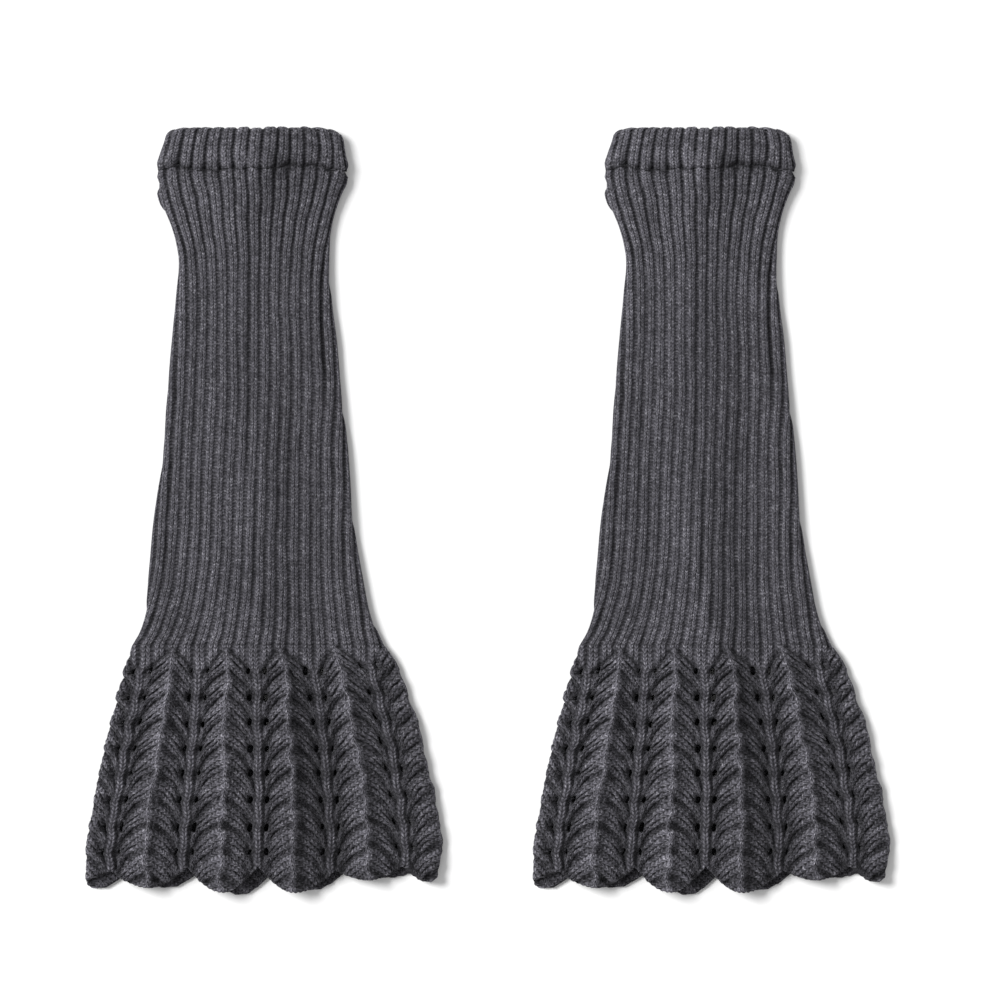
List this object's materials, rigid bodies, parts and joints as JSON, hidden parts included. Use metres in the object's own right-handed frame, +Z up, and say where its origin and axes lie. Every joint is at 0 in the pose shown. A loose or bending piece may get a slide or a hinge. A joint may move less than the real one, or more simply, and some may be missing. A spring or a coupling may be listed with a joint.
{
  "type": "pair of knitted leg warmers",
  "caption": "Pair of grey knitted leg warmers laid flat, with turned ribbed top bands, ribbed legs and flared leaf-lace skirts with scalloped hems.",
  "frame": {"origin": "middle of the pair's outline as it lies, on the surface that it rests on", "axes": "+X to the right across the pair, +Y from the scalloped hems to the top bands, +Z up from the surface"},
  "size_m": [0.419, 0.4, 0.0092],
  "materials": {
    "rib_knit": "soft melange wool, fine rib knit",
    "lace_knit": "soft melange wool, leaf lace knit"
  },
  "bodies": {
    "root": {"left_top_band": "rib_knit", "left_ribbed_leg": "rib_knit", "left_lace_skirt": "lace_knit", "right_top_band": "rib_knit", "right_ribbed_leg": "rib_knit", "right_lace_skirt": "lace_knit"}
  },
  "joints": []
}
